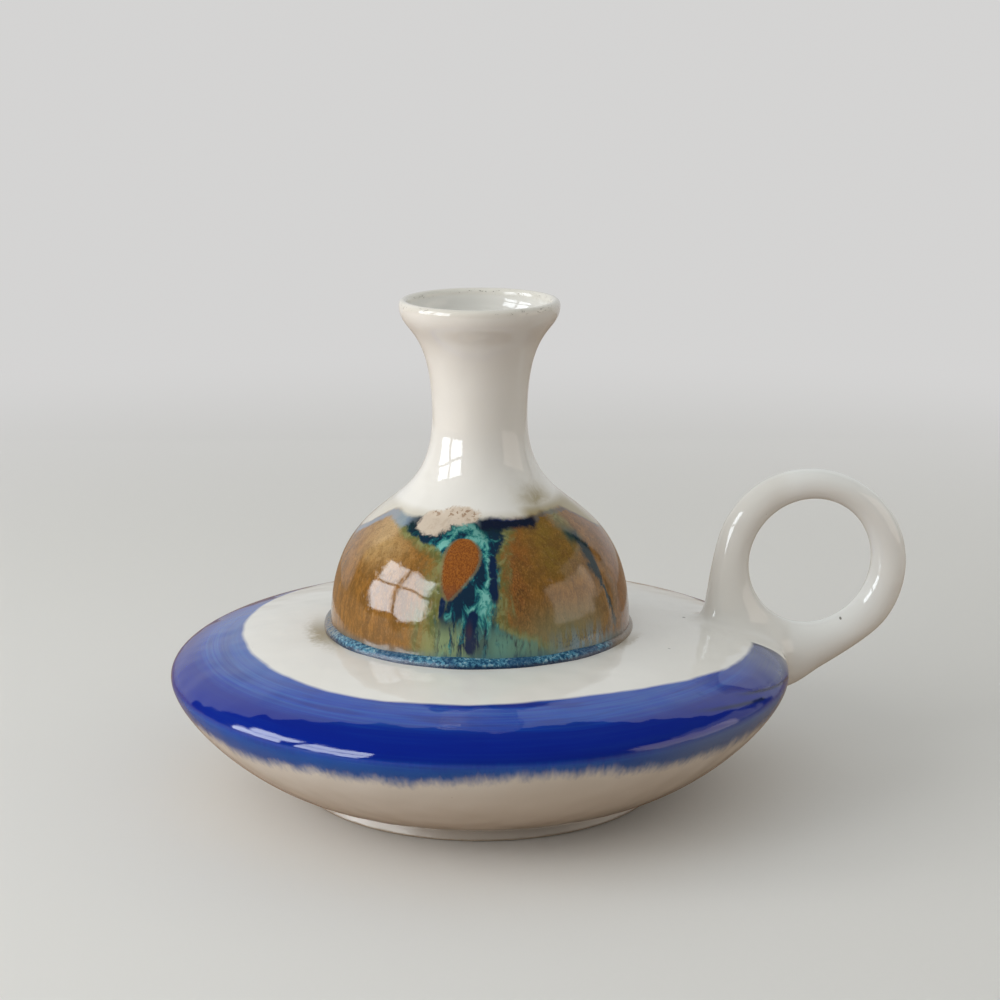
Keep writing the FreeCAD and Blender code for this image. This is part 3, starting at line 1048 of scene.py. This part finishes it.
CAMERA_PLACE = (0, -0.6056, 0.2189)
CAMERA_LENS = 87.26
CAMERA_DIP = 13.35
CAMERA_SWING = 0.489
WINDOW_TURN = math.radians(-68)
WINDOW_AWAY = 0.75
WINDOW_HEIGHT = 0.33
PANE_ASIDE = 0.20
PANE_ABOVE = 0.145
PANE_SIZE = (0.335, 0.24)
PANE_TINT = (1.0, 0.995, 0.98)
PANE_MIRRORED = (0.93, 1.0, 1.07)
FILL_TINT = (1.0, 0.96, 0.90)
CARD_MIRRORED = (1.0, 0.86, 0.74)
ROOM_LIGHT = (0.985, 1.0, 0.975)
BACKDROP = (0.66, 0.655, 0.65)
TABLE_BROWN = (0.36, 0.25, 0.165)
PALE_FLOOR = (0.74, 0.73, 0.71)
LOW_WALL = (0.50, 0.47, 0.44)
HIGH_WALL = (0.62, 0.625, 0.63)
FLOOR_REACH = 6
WALL_LEFT = -0.7
WALL_RIGHT = 0.62
WALL_AWAY = 0.43
WALL_TOP = 0.72


def studio(across, away, height):
    """A place in the studio, from the camera's side."""
    return Matrix.Rotation(-PAINT_TURN, 3, "Z") @ Vector((across, away, height))


def camera():
    """The camera, at the photograph's viewing angle."""
    data = bpy.data.cameras.new("camera")
    data.lens = CAMERA_LENS
    data.sensor_width = 36.0
    data.clip_start = 0.05
    stand = bpy.data.objects.new("camera", data)
    stand.location = studio(*CAMERA_PLACE)
    swing = -PAINT_TURN - math.radians(CAMERA_SWING)
    stand.rotation_euler = Euler((math.radians(90 - CAMERA_DIP), 0, swing))
    bpy.context.scene.collection.objects.link(stand)
    bpy.context.scene.camera = stand


def softbox(name, place, target, size, power, tint):
    """One soft lamp, turned to its target."""
    data = bpy.data.lights.new(name, "AREA")
    data.shape = "RECTANGLE"
    data.size, data.size_y = size
    data.energy = power
    data.color = tint
    lamp = bpy.data.objects.new(name, data)
    lamp.location = place
    lamp.rotation_euler = (target - place).to_track_quat("-Z", "Y").to_euler()
    bpy.context.scene.collection.objects.link(lamp)


def lights():
    """A window of four soft panes on the left and a weak fill on the right, with what the glaze mirrors."""
    facing = Vector((math.sin(WINDOW_TURN), -math.cos(WINDOW_TURN), 0))
    beside = Vector((facing.y, -facing.x, 0))
    panes = []
    for column in (-PANE_ASIDE, PANE_ASIDE):
        for row in (-PANE_ABOVE, PANE_ABOVE):
            centre = facing * WINDOW_AWAY + beside * column + Vector((0, 0, WINDOW_HEIGHT + row))
            place = studio(*centre)
            level = studio(beside.x * column, beside.y * column, centre.z - 0.2)
            softbox("pane", place, level, PANE_SIZE, 1.08, PANE_TINT)
            panes.append((place, level))
    middle = studio(0, 0, 0.05)
    softbox("fill", studio(0.8, 0.12, 0.3), middle, (0.6, 0.5), 0.4, FILL_TINT)
    mirrored_panes("window", panes, PANE_SIZE, PANE_MIRRORED, 7.0)
    mirrored_panes("card", [(studio(0.78, -0.17, 0.20), middle)], (0.66, 0.40), CARD_MIRRORED, 1.3)


def mirrored_panes(name, places, size, tint, strength):
    """Bright panes, a little nearer than their lamps."""
    form = bmesh.new()
    for place, level in places:
        turned = (level - place).to_track_quat("-Z", "Y").to_matrix().to_4x4()
        nearer = Matrix.Translation(place + (level - place) * 0.01)
        shape = Matrix.Diagonal((*size, 1.0, 1.0))
        bmesh.ops.create_grid(form, x_segments=1, y_segments=1, size=0.5, matrix=nearer @ turned @ shape)
    staged(name, form, only_mirrored(new_recipe(name), tint, strength))


def only_mirrored(recipe, shade, strength):
    """Light that only shows as the glaze mirrors it."""
    bright = recipe.node("ShaderNodeEmission", {}, shade, strength).outputs[0]
    clear = recipe.node("ShaderNodeBsdfTransparent", {}).outputs[0]
    return recipe.fired(recipe.mixed(recipe.rays("Is Glossy Ray"), clear, bright))


def room():
    """The room: plain and pale to the camera, soft light for the pot, and dim in its gloss."""
    recipe = Recipe(bpy.data.worlds.new("room"))
    glossy = recipe.rays("Is Glossy Ray")
    strength = recipe.value("ShaderNodeMapRange", {}, glossy, 0.0, 1.0, 0.62, 0.07)
    light = recipe.node("ShaderNodeBackground", {}, ROOM_LIGHT, strength).outputs[0]
    plain = recipe.node("ShaderNodeBackground", {}, BACKDROP, 1.0).outputs[0]
    mixed = recipe.mixed(recipe.rays("Is Camera Ray"), light, plain)
    bpy.context.scene.world = recipe.fired(mixed, "ShaderNodeOutputWorld")


def floor():
    """A plain pale floor, which to all but the camera is as brown as a table."""
    recipe = new_recipe("pale_floor")
    seen = recipe.rays("Is Camera Ray")
    shade = recipe.blend(seen, TABLE_BROWN, PALE_FLOOR)
    matt = recipe.node("ShaderNodeBsdfPrincipled", {}, Base_Color=shade, Roughness=0.8).outputs[0]
    plain = recipe.node("ShaderNodeEmission", {}, BACKDROP, 1.0).outputs[0]
    length = recipe.node("ShaderNodeVectorMath", {"operation": "LENGTH"}, recipe.spot())
    far = recipe.soft(0.25, 0.65, Value(recipe, length.outputs["Value"])) * seen
    reach = FLOOR_REACH
    corners = [(-reach, -reach, 0), (reach, -reach, 0), (reach, reach, 0), (-reach, reach, 0)]
    staged("floor", sheet(corners), recipe.fired(recipe.mixed(far, matt, plain)))


def wall():
    """A plain wall behind the pot that only the glaze mirrors, darker low down."""
    recipe = new_recipe("pale_wall")
    height = recipe.parts(recipe.spot())[2]
    shade = recipe.blend(recipe.soft(0.02, 0.10, height), LOW_WALL, HIGH_WALL)
    ends = [(WALL_LEFT, 0), (WALL_RIGHT, 0), (WALL_RIGHT, WALL_TOP), (WALL_LEFT, WALL_TOP)]
    corners = [(across, WALL_AWAY, height) for across, height in ends]
    staged("wall", sheet(corners), only_mirrored(recipe, shade, 1.0))


def sheet(corners):
    """One flat face between places in the studio."""
    form = bmesh.new()
    form.faces.new([form.verts.new(studio(*corner)) for corner in corners])
    return form


def staged(name, form, material):
    """A piece of the studio, which is no part of the pot."""
    mesh = bpy.data.meshes.new(name)
    form.to_mesh(mesh)
    form.free()
    material.cycles.emission_sampling = "NONE"
    mesh.materials.append(material)
    piece = bpy.data.objects.new(name, mesh)
    bpy.context.scene.collection.objects.link(piece)


camera()
painted = painted_glaze()
finished("bowl", bowl_form(), painted, "base_bowl")
finished("deck", deck_form(), painted, "top_deck")
finished("foot", foot_form(), foot_clay(), "foot_ring")
finished("bell", bell_form(), running_glaze(), "candle_bell")
finished("cup", cup_form(), cream_glaze(), "candle_cup")
finished("bead", bead_form(), pooled_glaze(), "glaze_bead")
finished("loop", loop_form(), painted, "finger_loop")
lights()
room()
floor()
wall()

view = bpy.context.scene.view_settings
view.view_transform = "Standard"
